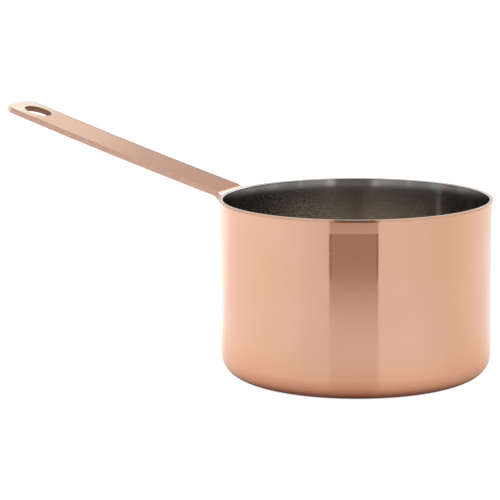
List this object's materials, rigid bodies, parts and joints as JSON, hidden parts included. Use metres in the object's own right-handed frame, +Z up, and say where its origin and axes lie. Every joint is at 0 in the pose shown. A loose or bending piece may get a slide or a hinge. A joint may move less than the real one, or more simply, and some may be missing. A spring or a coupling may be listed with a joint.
{
  "type": "saucepan",
  "caption": "Small round copper saucepan with a steel lining, a rolled steel rim and a riveted flat strip handle with a hanging hole.",
  "frame": {"origin": "centre of the underside of the base", "axes": "+Z up along the axis of the round pan; the handle points along -X; +Y follows by the right-hand rule"},
  "size_m": [0.1789, 0.0908, 0.0844],
  "materials": {
    "polished_copper": "mirror-polished copper, warm pink",
    "lining_steel": "smooth stainless steel with fine turned marks",
    "satin_copper": "satin copper, ground lengthwise",
    "rivet_steel": "polished stainless steel"
  },
  "bodies": {
    "root": {"copper_shell": "polished_copper", "steel_lining": "lining_steel", "handle": "satin_copper", "handle_rivets": "rivet_steel"}
  },
  "joints": []
}
